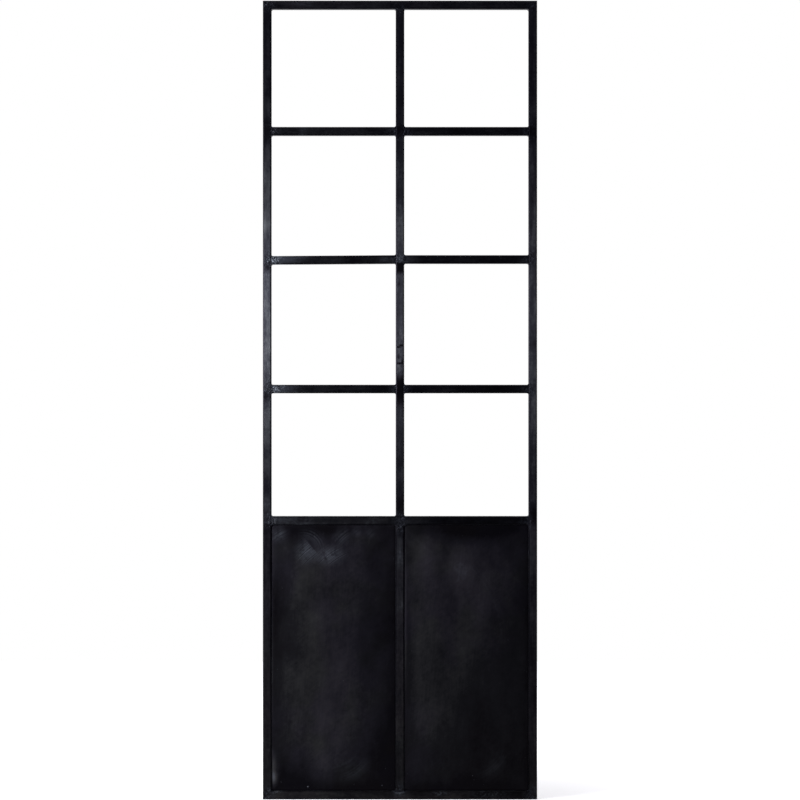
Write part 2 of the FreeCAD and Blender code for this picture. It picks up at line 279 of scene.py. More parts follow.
def joints_of(name):
    """Middles of the welded joints along a tube, from where the other tubes cross or meet it."""
    low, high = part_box(name)
    middles = []
    for other in UPRIGHTS + LEVELS:
        if other == name or (other in UPRIGHTS) == (name in UPRIGHTS):
            continue
        other_low, other_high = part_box(other)
        if all(low[i] - TOUCH <= other_high[i] and other_low[i] <= high[i] + TOUCH for i in range(3)):
            start = [max(low[i], other_low[i]) for i in range(3)]
            end = [min(high[i], other_high[i]) for i in range(3)]
            middles.append(tuple((a + b) / 2 for a, b in zip(start, end)))
    return middles


def near_joints(s, points, reach):
    """1 at any of the points, falling to 0 at this distance."""
    nearest = reach
    for point in points:
        away = s.add("VectorMath", {0: s.place, 1: point}, operation="DISTANCE")
        nearest = s.add("Math", {0: nearest, 1: away}, operation="MINIMUM")
    inputs = {"Value": nearest, "From Min": reach, "From Max": 0.0}
    return s.add("MapRange", inputs, interpolation_type="SMOOTHSTEP")


def round_edges(s, name, grain):
    """1 on the four round edges of a tube and 0 on its flat faces, where painted shade darkens them."""
    low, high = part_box(name)
    middle = (low + high) / 2
    off = s.add("VectorMath", {0: s.place, 1: middle}, operation="SUBTRACT")
    off = s.add("VectorMath", {0: off}, operation="ABSOLUTE")
    off = s.add("SeparateXYZ", {0: off})
    aside = off.outputs["X" if grain == UPWARD else "Z"]
    nearer = s.add("Math", {0: aside, 1: off.outputs["Y"]}, operation="MINIMUM")
    half = (high.y - low.y) / 2
    inputs = {"Value": nearer, "From Min": half - EDGE_WIDTH, "From Max": half - EDGE_WIDTH / 3}
    return s.add("MapRange", inputs, interpolation_type="SMOOTHSTEP")


def oxide(s, tone, colours, neutral=(), tint=(1, 1, 1, 1)):
    """Blackened steel, from deep black at tone 0 to worn grey at 1 and bare metal at 2.

    The hue changes slowly from neutral to violet, as the thickness of the oxide does, and
    has its own neutral patches. The tint colours what isn't violet.
    """
    hue = s.add("TexNoise", {"Vector": s.place, "Scale": per_metre(110)})
    hue = s.add("MapRange", {"Value": hue, "From Min": 0.36, "From Max": 0.56})
    hue = shaded(s, hue, neutral)
    inputs = {0: hue, 6: (*colours.steel, 1), 7: (*colours.steel_violet, 1)}
    black = s.add("Mix", inputs, data_type="RGBA")
    deep = s.add("MapRange", {"Value": tone, "From Min": 0.5, "From Max": 0.0})
    worn = s.add("MapRange", {"Value": tone, "From Min": 0.5, "From Max": 1.0})
    bare = s.add("MapRange", {"Value": tone, "From Min": 1.0, "From Max": 2.0})
    base = s.add("Mix", {0: deep, 6: black, 7: (*colours.steel_deep, 1)}, data_type="RGBA")
    inputs = {0: hue, 6: (*colours.steel_worn, 1), 7: (*colours.worn_violet, 1)}
    pale = s.add("Mix", inputs, data_type="RGBA")
    base = s.add("Mix", {0: worn, 6: base, 7: pale}, data_type="RGBA")
    plain = s.add("MapRange", {"Value": hue, "From Min": 1.0, "From Max": 0.0})
    base = s.add("Mix", {0: plain, 6: base, 7: tint}, data_type="RGBA", blend_type="MULTIPLY")
    return s.add("Mix", {0: bare, 6: base, 7: (*colours.scratched, 1)}, data_type="RGBA")


def shaded(s, tone, shades):
    """A tone made paler or blacker by patches."""
    for centre, reach, weight, *squash in shades:
        tone = weighed(s, tone, (patch(s, centre, reach, *squash), weight))
    return tone


# How soft a disc mark ends at a line that cuts it off
CUT_FADE = 0.003


def scratched_by_disc(s, base, marks, mottle, colours):
    """A base colour with the disc's marks on it, patchy as the disc skipped."""
    lines = 0.0
    for centre, radius, width, pitch, middle, reach, squash, strength, *cut in marks:
        arcs = product(s, disc_marks(s, centre, radius, width, pitch), patch(s, middle, reach, squash))
        for start, end in cut:
            arcs = product(s, arcs, beyond(s, start, end, CUT_FADE))
        lines = weighed(s, lines, (arcs, strength))
    patchy = s.add("MapRange", {"Value": mottle, "From Min": 0.28, "From Max": 0.52})
    lines = product(s, lines, patchy)
    return s.add("Mix", {0: lines, 6: base, 7: (*colours.scratched, 1)}, data_type="RGBA")


# The tubes' oxide is neutral above the mid rail and browner near the floor, where the round edges also get
# less painted shade
TUBE_NEUTRAL = [(spot_in(400, 300), 1.5, -1.1)]
TUBE_BROWN = (1.0, 1.0, 0.86, 1)
NEAR_FLOOR = (spot_in(400, 760), 1.0, (0.3, 1))

# Where the sheets' oxide isn't violet the wax has browned it
SHEET_BROWN = (1.0, 0.965, 0.87, 1)

# How far the drawing lines smear a light across a tube
SMEAR = 0.88


def blackened_tube(name, grain, tone_shift, shades, marks, flecks, colours):
    """Cold drawn mild steel tube, blackened and waxed.

    Drawing lines run along the tube, so a light smears across it, but for where the black lies
    thick and hides them. The oxide is streaky along the tube and finely mottled, and browner near
    the floor; the round edges carry painted shade, less of it low down. Around a joint the disc
    that ground the weld flush took the lines away and left small facets: a post loses its sheen
    there, and a bar's end glints, and a tone that is partly painted shade and highlight adds to
    both. Here and there it left flecks of bare steel. Stretches of painted highlight and shade
    also lie along the tubes where the light falls.
    """
    s = Shader(f"blackened_tube_{name}")
    along = s.add("Mapping", {"Vector": s.place, "Scale": [0.14 if a else 1 for a in grain]})
    inputs = {"Vector": along, "Scale": per_metre(16), "Detail": 5.0, "Roughness": 0.62}
    streaks = s.add("TexNoise", inputs)
    inputs = {"Vector": s.place, "Scale": per_metre(8), "Detail": 5.0, "Roughness": 0.64}
    mottle = s.add("TexNoise", inputs)
    clouds = s.add("TexNoise", {"Vector": s.place, "Scale": per_metre(95), "Detail": 3.0})
    tone = weighed(s, tone_shift - 0.95, (streaks, 1.3), (mottle, 0.8), (clouds, 0.9))
    tone = shaded(s, tone, shades)
    joint = near_joints(s, joints_of(name), JOINT_REACH)
    low = patch(s, *NEAR_FLOOR)
    edge = round_edges(s, name, grain)
    # Less of the painted edge shade low down, beside the sheets
    edge = weighed(s, edge, (product(s, edge, low), -EDGE_SHADE_OFF_LOW))
    # The round edges get their painted shade here, and the joints their partly painted tone
    tone = weighed(s, tone, (joint, JOINT_TONES[grain]), (edge, PAINTED_EDGE_SHADE))
    base = oxide(s, tone, colours, TUBE_NEUTRAL)
    browned = {0: low, 6: base, 7: TUBE_BROWN}
    base = s.add("Mix", browned, data_type="RGBA", blend_type="MULTIPLY")
    # Thick black hides the lines, and a joint that stayed black has nothing bare to glint
    thick = s.add("MapRange", {"Value": tone, "From Max": -0.6})
    lineless = weighed(s, 0.0, (joint, 0.45), (thick, 0.75))
    bared = s.add("MapRange", {"Value": tone, "From Min": -0.4, "From Max": 0.2})
    joint = product(s, joint, bared)
    ground = s.add("MapRange", {"Value": mottle, "From Min": 0.44, "From Max": 0.62})
    ground = product(s, joint, ground)
    base = s.add("Mix", {0: ground, 6: base, 7: (*colours.heat_blue, 1)}, data_type="RGBA")
    inputs = {0: strokes(s, 52, 2.6, 16, 0.3, 0.56, 0.72), 1: strokes(s, -38, 2.6, 12, 0.9, 0.58, 0.74)}
    scratches = s.add("Math", inputs, operation="MAXIMUM")
    scratches = product(s, scratches, joint, 0.5)
    base = s.add("Mix", {0: scratches, 6: base, 7: (*colours.scratched, 1)}, data_type="RGBA")
    if marks:
        base = scratched_by_disc(s, base, marks, mottle, colours)
    if flecks:
        bare = s.add("TexNoise", {"Vector": s.place, "Scale": per_metre(5)})
        bare = s.add("MapRange", {"Value": bare, "From Min": 0.46, "From Max": 0.66})
        bare = product(s, bare, shaded(s, 0.0, flecks))
        base = s.add("Mix", {0: bare, 6: base, 7: (*colours.scratched, 1)}, data_type="RGBA")
        lineless = weighed(s, lineless, (bare, 0.9))
    drawn_out = s.add("MapRange", {"Value": lineless, "To Min": SMEAR, "To Max": 0.0})

    # The drawing lines are really finer than this, but too fine to show
    lines = s.add("Mapping", {"Vector": s.place, "Scale": [0.02 if a else 1 for a in grain]})
    lines = s.add("TexNoise", {"Vector": lines, "Scale": per_metre(1.2)})
    drawn = s.add("Bump", {"Height": lines, "Strength": 0.2, "Distance": 0.00005})
    uneven = s.add("TexNoise", {"Vector": s.place, "Scale": per_metre(34), "Detail": 4.0})
    dents = s.add("Bump", {"Height": uneven, "Strength": 0.3, "Distance": 0.0004, "Normal": drawn})
    inputs = {"Vector": s.place, "Scale": per_metre(7), "Detail": 3.0, "Roughness": 0.55}
    facets = s.add("TexNoise", inputs)
    facets = s.add("Bump", {"Height": facets, "Strength": joint, "Distance": 0.0028, "Normal": dents})
    rough = weighed(s, 0.31, (streaks, 0.16))
    return s.finish(
        Base_Color=base,
        Metallic=1.0,
        Roughness=rough,
        Normal=facets,
        Anisotropic=drawn_out,
        Anisotropic_Rotation=0.25,
        Tangent=s.add("CombineXYZ", dict(zip("XYZ", grain))),
    )


def away_from_edges(s, low, high, reach):
    """0 on the border of a sheet, rising to 1 at this distance from it."""
    split = s.add("SeparateXYZ", {0: s.place})
    nearest = reach
    for axis, index in (("X", 0), ("Z", 2)):
        along = split.outputs[axis]
        from_low = s.add("Math", {0: along, 1: low[index]}, operation="SUBTRACT")
        from_high = s.add("Math", {0: high[index], 1: along}, operation="SUBTRACT")
        nearest = s.add("Math", {0: nearest, 1: from_low}, operation="MINIMUM")
        nearest = s.add("Math", {0: nearest, 1: from_high}, operation="MINIMUM")
    return s.add("MapRange", {"Value": nearest, "From Max": reach}, interpolation_type="SMOOTHSTEP")


# How wide the painted shade along the seams is
SEAM_SHADE_WIDTH = 0.045


def blackened_sheet(name, marks, shades, neutral, tone_shift, colours):
    """Hot rolled sheet, ground by hand in places, blackened and waxed.

    The wax was wiped on in long strokes, the oxide is cloudy, and the disc left bluish arcs and
    hatched patches where it touched. Painted shade darkens the sheet along its seams, and patches
    of painted highlight and shade lie where the light falls on it.
    """
    s = Shader(f"blackened_{name}")
    low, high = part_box(name)
    tall = s.add("Mapping", {"Vector": s.place, "Scale": (1, 1, 0.45)})
    clouds = s.add("TexNoise", {"Vector": tall, "Scale": per_metre(85), "Detail": 6.0, "Roughness": 0.58})
    inputs = {"Vector": s.place, "Scale": per_metre(16), "Detail": 6.0, "Roughness": 0.68}
    mottle = s.add("TexNoise", inputs)
    wiped = strokes(s, 84, 5, 90, 0.2, 0.3, 0.7)
    crossed = strokes(s, 38, 6, 70, 0.7, 0.3, 0.7)
    # Painted shade: the sheet is darker within that width of its seams
    inner = away_from_edges(s, low, high, SEAM_SHADE_WIDTH)
    layers = ((clouds, 0.8), (mottle, 0.45), (wiped, 0.07), (crossed, 0.06), (inner, 0.18))
    tone = weighed(s, tone_shift - 0.42, *layers)
    base = oxide(s, shaded(s, tone, shades), colours, neutral, SHEET_BROWN)
    base = scratched_by_disc(s, base, marks, mottle, colours)

    ripple = s.add("TexNoise", {"Vector": s.place, "Scale": per_metre(55), "Detail": 4.0})
    ripple = s.add("Bump", {"Height": ripple, "Strength": 0.4, "Distance": 0.0006})
    grit = s.add("Bump", {"Height": mottle, "Strength": 0.3, "Distance": 0.0002, "Normal": ripple})
    rough = weighed(s, 0.34, (clouds, 0.16))
    return s.finish(Base_Color=base, Metallic=1.0, Roughness=rough, Normal=grit)


# Painted highlight and shade on the seams: pale lines along the sheets' left borders and under
# the mid rail, where the beads catch the light, and darker along the bottom. Each holds middle,
# reach, how much and squash
PAINTED_SEAM_LIGHT = [
    (spot_in(271.7, 650), 0.42, 1.6, (60, 1)),
    (spot_in(405, 620), 0.34, 1.4, (60, 1)),
    (spot_in(330, 525.4), 0.42, 0.15, (1, 20)),
    (spot_in(470, 525.4), 0.42, 0.35, (1, 20)),
    (spot_in(338, 790.5), 0.5, -0.4, (1, 20)),
    (spot_in(466, 790.5), 0.5, -0.4, (1, 20)),
]


def weld_metal(colours):
    """Weld metal dressed by hand and blackened with the rest: rougher, lumpy and a little bluer."""
    s = Shader("dressed_weld_metal")
    lumps = s.add("TexNoise", {"Vector": s.place, "Scale": per_metre(4), "Detail": 4.0, "Roughness": 0.6})
    clouds = s.add("TexNoise", {"Vector": s.place, "Scale": per_metre(40)})
    tone = weighed(s, -0.75, (lumps, 1.2), (clouds, 1.2))
    # Painted highlight and shade on the seams
    tone = shaded(s, tone, PAINTED_SEAM_LIGHT)
    base = oxide(s, tone, colours)
    blued = s.add("MapRange", {"Value": lumps, "From Min": 0.48, "From Max": 0.62})
    base = s.add("Mix", {0: blued, 6: base, 7: (*colours.heat_blue, 1)}, data_type="RGBA")
    rough = weighed(s, 0.28, (lumps, 0.24))
    bump = s.add("Bump", {"Height": lumps, "Strength": 0.5, "Distance": 0.0004})
    return s.finish(Base_Color=base, Metallic=1.0, Roughness=rough, Normal=bump)


def seen_white(tree, rays, behind):
    """1 for the camera's rays and for reflections of what is behind the object, 0 for the rest."""
    mirrored = {0: rays.outputs["Is Glossy Ray"], 1: rays.outputs["Is Transmission Ray"]}
    shiny = add(tree, "Math", mirrored, operation="MAXIMUM")
    shiny = add(tree, "Math", {0: shiny, 1: behind}, operation="MULTIPLY")
    return add(tree, "Math", {0: rays.outputs["Is Camera Ray"], 1: shiny}, operation="MAXIMUM")


def dress(thing, material):
    """Gives a thing this material alone."""
    thing.data.materials.clear()
    thing.data.materials.append(material)


# Modelling helpers


def start_clean():
    """Leaves edit mode, with nothing selected."""
    if bpy.context.object and bpy.context.object.mode != "OBJECT":
        bpy.ops.object.mode_set(mode="OBJECT")
    bpy.ops.object.select_all(action="DESELECT")


def take(thing):
    """Makes a thing the only one selected, and active."""
    start_clean()
    thing.select_set(True)
    bpy.context.view_layer.objects.active = thing


def settle(thing):
    """Moves a thing's place, turn and size into its mesh."""
    take(thing)
    bpy.ops.object.transform_apply(location=True, rotation=True, scale=True)


def apply_modifier(thing, kind, **settings):
    """Puts a modifier's work into a thing's mesh."""
    take(thing)
    modifier = thing.modifiers.new(kind.title(), kind)
    for name, value in settings.items():
        setattr(modifier, name, value)
    bpy.ops.object.modifier_apply(modifier=modifier.name)


# Operators


class PARTITION_OT_tubes(Operator):
    """Gives every tube its blackened and waxed finish"""

    bl_idname = "partition.tubes"
    bl_label = "Blacken the Tubes"

    # How much paler or blacker than the others a tube came out of the blackening. Partly this is
    # painted light: the bars on the left are paler and those on the right darker, as the light falls
    # from the left
    TONES = {
        "upper_mullion": -0.06,
        "right_upper_bar": -0.15,
        "right_middle_bar": -0.06,
        "right_lower_bar": -0.19,
        "left_upper_bar": 0.17,
        "left_middle_bar": 0.18,
        "left_lower_bar": 0.13,
        "top_rail": 0.05,
        "bottom_rail": 0.13,
    }

    # Paler and blacker stretches, fitted to the brightness along each tube: partly real tone and dark
    # marks, and partly painted highlight and shade, as the key light's sheen rises and falls along the
    # posts and the light falls from the left. Each holds middle, reach, how much and, if it isn't
    # (1, 1), squash
    PAINTED_LIGHT_AND_TONE = {
        "top_rail": [
            (spot_in(320, 5), 0.25, 0.25),
            (spot_in(380, 5), 0.06, 0.45),
            (spot_in(440, 5), 0.12, 0.1),
            (spot_in(510, 5), 0.08, 0.1),
        ],
        "mid_rail": [
            # Paler on the left and darker on the right, as the light falls from the left: painted light
            # and shade
            (spot_in(310, 520), 0.3, 0.38),
            (spot_in(286, 521), 0.05, 0.4),
            (spot_in(372, 520), 0.06, 0.5),
            (spot_in(420, 520), 0.07, 0.25),
            (spot_in(480, 520), 0.26, -0.42),
            # A painted highlight along the lower round edge
            (spot_in(330, 524.5), 0.45, 0.22, (1, 90)),
        ],
        "bottom_rail": [
            (spot_in(426, 796), 0.1, -0.3),
            (spot_in(500, 796), 0.22, -0.5),
            (spot_in(522, 796), 0.06, -0.2),
        ],
        "left_middle_bar": [
            (spot_in(282, 260), 0.06, 0.75),
            (spot_in(296, 260), 0.06, 0.35),
            (spot_in(310, 259), 0.14, 0.3),
            (spot_in(355, 260), 0.05, -0.25),
            (spot_in(384, 259), 0.03, 0.5),
        ],
        "left_lower_bar": [
            (spot_in(280, 389), 0.06, 0.7),
            (spot_in(292, 389), 0.05, 0.35),
            (spot_in(320, 389), 0.17, 0.15),
            (spot_in(384, 389), 0.04, -0.3),
        ],
        "left_upper_bar": [(spot_in(300, 131), 0.15, 0.2)],
        "right_upper_bar": [(spot_in(430, 131), 0.08, 0.15)],
        "right_middle_bar": [(spot_in(411, 259), 0.04, 0.5)],
        "left_stile": [
            (spot_in(267, 72), 0.09, 0.15),
            (spot_in(267, 109), 0.05, 0.4),
            (spot_in(267, 131), 0.045, -0.8, (0.5, 1)),
            (spot_in(267, 178), 0.08, 0.25),
            (spot_in(267, 200), 0.25, 0.12),
            (spot_in(267, 243), 0.06, -0.3),
            (spot_in(268.5, 267), 0.02, -0.4, (0.5, 1)),
            (spot_in(267, 291), 0.05, -0.3),
            (spot_in(267, 306), 0.25, 0.12),
            (spot_in(267, 396), 0.026, -0.7, (0.5, 1)),
            (spot_in(267, 422), 0.06, 0.4),
            (spot_in(267, 452), 0.05, -0.5),
            (spot_in(267, 455), 0.17, 0.3),
            (spot_in(267, 503), 0.04, 0.45),
            (spot_in(267, 526), 0.03, -0.3),
            (spot_in(267, 590), 0.09, 0.2),
            (spot_in(267, 650), 0.45, 0.27),
        ],
        "right_stile": [
            (spot_in(533, 132), 0.045, -0.7, (0.5, 1)),
            (spot_in(533, 160), 0.03, -0.2),
            (spot_in(533, 237), 0.05, 0.2),
            (spot_in(533, 272), 0.05, -0.2),
            (spot_in(533, 304), 0.07, 0.15),
            (spot_in(533, 345), 0.03, -0.35),
            (spot_in(533, 384), 0.02, 0.2),
            (spot_in(533, 425), 0.03, 0.2),
            (spot_in(533, 452), 0.04, -0.3),
            (spot_in(533, 516), 0.04, -0.5, (0.5, 1)),
            (spot_in(533, 556), 0.14, 0.35),
            (spot_in(533, 645), 0.08, 0.15),
            (spot_in(533, 700), 0.14, -0.15),
            (spot_in(533, 770), 0.12, -0.3),
        ],
        "upper_mullion": [
            (spot_in(400, 129), 0.03, -0.8, (0.5, 1)),
            (spot_in(400, 200), 0.14, -0.15),
            (spot_in(400, 195), 0.03, -0.2),
            (spot_in(400, 227), 0.06, 0.45),
            (spot_in(403, 257), 0.02, 0.3),
            (spot_in(400, 267.5), 0.024, -1.6, (0.4, 1)),
            (spot_in(398.5, 284), 0.009, -0.5, (1.2, 0.8)),
            (spot_in(400, 312), 0.06, -0.28),
            (spot_in(400, 350), 0.08, 0.15),
            (spot_in(397.6, 347), 0.008, -1.4, (0.6, 1.7)),
            (spot_in(402, 345.3), 0.008, -1.4, (0.6, 1.7)),
            (spot_in(398.5, 356.5), 0.01, -0.7, (1.5, 0.8)),
            (spot_in(398.8, 363.3), 0.008, -1.4, (0.6, 1.7)),
            (spot_in(402.6, 362), 0.011, -1.0, (1.8, 0.8)),
            (spot_in(400, 389), 0.06, -1.4, (0.4, 1)),
            (spot_in(400, 403), 0.03, -0.3),
            (spot_in(400, 473), 0.04, 0.35),
            (spot_in(400, 508), 0.045, -0.5, (0.5, 1)),
        ],
        "lower_mullion": [
            (spot_in(400, 530), 0.035, -0.5, (0.5, 1)),
            (spot_in(400, 556), 0.06, 0.4),
            (spot_in(400, 600), 0.3, 0.3),
            (spot_in(400, 720), 0.3, 0.2),
            (spot_in(400, 774), 0.06, -0.25),
            # A painted highlight on the left edge at the foot
            (spot_in(395.5, 789.5), 0.008, 0.8),
        ],
    }

    # Disc marks, in the form that the sheets' have; the bottom rail's is a painted highlight instead
    MARKS = {
        "mid_rail": [
            (spot_in(270, 550), 0.112, 0.02, 4, spot_in(298, 520), 0.05, (1, 1), 0.22),
            (spot_in(333, 550), 0.112, 0.02, 4, spot_in(306, 520), 0.05, (1, 1), 0.22),
        ],
        "left_upper_bar": [
            (spot_in(330, 160), 0.116, 0.02, 4, spot_in(302, 131), 0.025, (1, 1), 0.25),
        ],
        "bottom_rail": [
            # Not a disc mark: a painted highlight where a weld bead's curved rim catches the light
            (spot_in(398.7, 784.3), 0.0285, 0.005, 30, spot_in(399, 792), 0.03, (1, 1), 0.65),
        ],
    }

    # Where the disc took the black off in flecks, in the form of the stretches
    FLECKS = {
        "left_middle_bar": [(spot_in(277, 260), 0.034, 0.85)],
        "left_lower_bar": [(spot_in(278, 388.5), 0.036, 0.95)],
        "left_upper_bar": [(spot_in(302, 131), 0.03, 0.08)],
        "mid_rail": [
            (spot_in(277, 519), 0.034, 0.2),
            (spot_in(402, 520), 0.026, 0.2),
        ],
        "lower_mullion": [(spot_in(402, 528), 0.022, 0.3)],
        "upper_mullion": [(spot_in(403, 257.5), 0.02, 0.5)],
        "left_stile": [
            (spot_in(269, 514), 0.024, 0.15),
            (spot_in(268, 612), 0.02, 0.2, (1.5, 1)),
            (spot_in(270, 790), 0.014, 0.3),
        ],
        "bottom_rail": [
            (spot_in(277, 791), 0.022, 0.6, (0.8, 2)),
            (spot_in(400, 791), 0.02, 0.12),
            (spot_in(440, 793.5), 0.02, 0.35, (0.6, 1.8)),
            (spot_in(490, 794), 0.05, 0.17, (0.6, 1.6)),
        ],
    }

    def execute(self, context):
        colours = context.scene.partition_colours
        for name in UPRIGHTS + LEVELS:
            grain = UPWARD if name in UPRIGHTS else LEVEL
            tone = self.TONES.get(name, 0.0)
            patches = [part.get(name, []) for part in (self.PAINTED_LIGHT_AND_TONE, self.MARKS, self.FLECKS)]
            material = blackened_tube(name, grain, tone, *patches, colours)
            dress(NODES[name], material)
        return {"FINISHED"}


class PARTITION_OT_sheets(Operator):
    """Models the two sheets, bellied, waved and puckered by the heat of their welds"""

    bl_idname = "partition.sheets"
    bl_label = "Make the Sheets"

    # The grid's cells, how far from the seam a sheet has come forward and bellied, and its waves
    CELL = 0.0035
    ROLL_REACH = 0.004
    CROWN_REACH = 0.1
    WAVE_LENGTH = 0.16

    # The pucker low on the left sheet: its middle, how wide and high it is, how wide a strip of
    # it the seam holds flat, and how many times its size it ends at, squared
    PUCKER = Vector(spot_in(274.5, 776))
    PUCKER_WIDTH = 0.026
    PUCKER_HEIGHT = 0.055
    PUCKER_HELD = 0.007
    PUCKER_END = 9

    # Disc marks: centre and radius of the arcs, width of their ring and pitch in mm, then the
    # middle, reach and squash of the patch that they show in, how bright they are and, where
    # they stop at a line, its two ends
    MARKS = {
        "left_panel": [
            (spot_in(303, 551), 0.052, 0.028, 4, spot_in(314, 537), 0.055, (1, 1), 0.2),
            (
                spot_in(363, 619), 0.25, 0.085, 2.6, spot_in(307, 551), 0.052, (1.1, 1), 0.56,
                (spot_in(322.5, 559), spot_in(307.5, 541)),
            ),
            (spot_in(381, 626), 0.258, 0.085, 2.6, spot_in(330, 556), 0.056, (0.85, 1.4), 0.5),
            (spot_in(372, 570), 0.13, 0.04, 5, spot_in(341, 537), 0.04, (1, 1), 0.2),
            (spot_in(386, 568), 0.13, 0.04, 6, spot_in(356, 532), 0.022, (1, 1), 0.16),
            (spot_in(402, 568), 0.13, 0.04, 6, spot_in(370, 533), 0.022, (1, 1), 0.14),
            (spot_in(310, 585), 0.16, 0.06, 5, spot_in(278, 534), 0.034, (1, 1), 0.2),
            (spot_in(265, 515), 0.07, 0.016, 4, spot_in(280, 536), 0.03, (1, 1), 0.2),
            (spot_in(330, 735), 0.132, 0.026, 7, spot_in(356, 772), 0.07, (1, 1), 0.1),
            (spot_in(330, 735), 0.1, 0.02, 7, spot_in(345, 762), 0.05, (1, 1), 0.06),
        ],
        "right_panel": [
            (spot_in(465, 735), 0.128, 0.03, 7, spot_in(496, 768), 0.075, (1, 1), 0.06),
            (spot_in(400, 640), 0.3, 0.012, 9, spot_in(490, 590), 0.15, (1, 0.6), 0.06),
            (spot_in(440, 600), 0.2, 0.03, 4, spot_in(510, 642), 0.02, (1, 1), 0.35),
            (spot_in(415, 560), 0.04, 0.03, 5, spot_in(411, 532), 0.04, (1, 1), 0.22),
        ],
    }

    # Paler and blacker patches, in the form of the tubes' stretches. Some are cloudy tone; others
    # are painted light: a painted highlight along each sheet's left border and on the pucker low on
    # the left sheet, painted shade under the mid rail and along the right borders, and darker
    # towards the bottom
    PAINTED_LIGHT_AND_TONE = {
        "left_panel": [
            (spot_in(318, 640), 0.42, 0.24, (2.3, 1)),
            (spot_in(314, 560), 0.09, 0.1),
            # Painted shade under the mid rail
            (spot_in(312, 529), 0.1, -0.35, (0.5, 1.8)),
            (spot_in(324, 620), 0.1, 0.2, (1.2, 1)),
            (spot_in(316, 576), 0.12, 0.15, (0.8, 1.4)),
            # Painted shade along the right border
            (spot_in(394, 650), 0.42, -0.16, (3.6, 1)),
            # Darker towards the bottom
            (spot_in(335, 795), 0.28, -0.38, (1, 3.4)),
            (spot_in(288, 777), 0.1, -0.52, (0.9, 1)),
            (spot_in(282, 590), 0.1, -0.15, (1.4, 0.7)),
            (spot_in(284, 635), 0.15, -0.2, (1.6, 1)),
            (spot_in(320, 710), 0.28, 0.2, (1.2, 1)),
            (spot_in(296, 650), 0.1, -0.2, (1.5, 1)),
            (spot_in(340, 637), 0.09, -0.15),
            (spot_in(394, 755), 0.2, -0.5, (1.2, 1)),
            # A painted highlight along the left border
            (spot_in(271.8, 650), 0.4, 0.5, (80, 1)),
            # A painted highlight on the pucker
            (spot_in(272, 768), 0.08, 0.95, (2.4, 1)),
            (spot_in(274, 779), 0.026, 0.7, (1.3, 0.8)),
        ],
        "right_panel": [
            (spot_in(404, 590), 0.6, 0.22, (1.8, 1)),
            (spot_in(444, 703), 0.15, 0.22),
            (spot_in(436, 738), 0.07, 0.1, (1.2, 1)),
            (spot_in(520, 700), 0.24, 0.2, (2, 1)),
            (spot_in(459, 570), 0.1, 0.42, (1.8, 0.9)),
            (spot_in(423, 557), 0.1, 0.35, (2, 0.8)),
            (spot_in(482, 584), 0.14, 0.3),
            (spot_in(474, 650), 0.12, 0.2),
            # A painted shadow under the mid rail
            (spot_in(472, 527), 0.2, -0.7, (1, 3)),
            # Painted shade towards the right border
            (spot_in(528, 730), 0.45, -0.28, (1.6, 1)),
            (spot_in(470, 775), 0.24, -0.25, (1, 1.2)),
            # Darker towards the bottom
            (spot_in(450, 796), 0.24, -0.3, (1, 2.4)),
            # A painted highlight along the left border
            (spot_in(405.4, 620), 0.34, 0.45, (80, 1)),
        ],
    }
    TONES = {"left_panel": 0.01, "right_panel": 0.0}

    # Patches where the violet is missing, in the same form
    NEUTRAL = {
        "left_panel": [
            (spot_in(284, 655), 0.26, -1.6, (1.6, 1)),
            (spot_in(388, 600), 0.08, -0.8),
            (spot_in(345, 775), 0.06, -0.8),
        ],
        "right_panel": [
            (spot_in(500, 720), 0.36, -1.6),
            (spot_in(416, 670), 0.16, -1.2, (1.3, 1)),
        ],
    }

    def execute(self, context):
        sizes = context.scene.partition_sizes
        colours = context.scene.partition_colours
        for name in SHEETS:
            sheet = self.model(name, sizes)
            patches = (self.MARKS[name], self.PAINTED_LIGHT_AND_TONE[name], self.NEUTRAL[name])
            dress(sheet, blackened_sheet(name, *patches, self.TONES[name], colours))
            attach(sheet, BODY)
            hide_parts(name)
        return {"FINISHED"}

    def model(self, name, sizes):
        """A fine grid, moved forward by groups of its vertices and then given its thickness."""
        low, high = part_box(name)
        thickness = high.y - low.y
        start_clean()
        bpy.ops.mesh.primitive_grid_add(
            size=1,
            x_subdivisions=round((high.x - low.x) / self.CELL),
            y_subdivisions=round((high.z - low.z) / self.CELL),
            location=(low + high) / 2,
            rotation=(math.pi / 2, 0, 0),
        )
        sheet = bpy.context.object
        sheet.name = f"{name}_sheet"
        sheet.scale = (high.x - low.x, high.z - low.z, 1)
        settle(sheet)

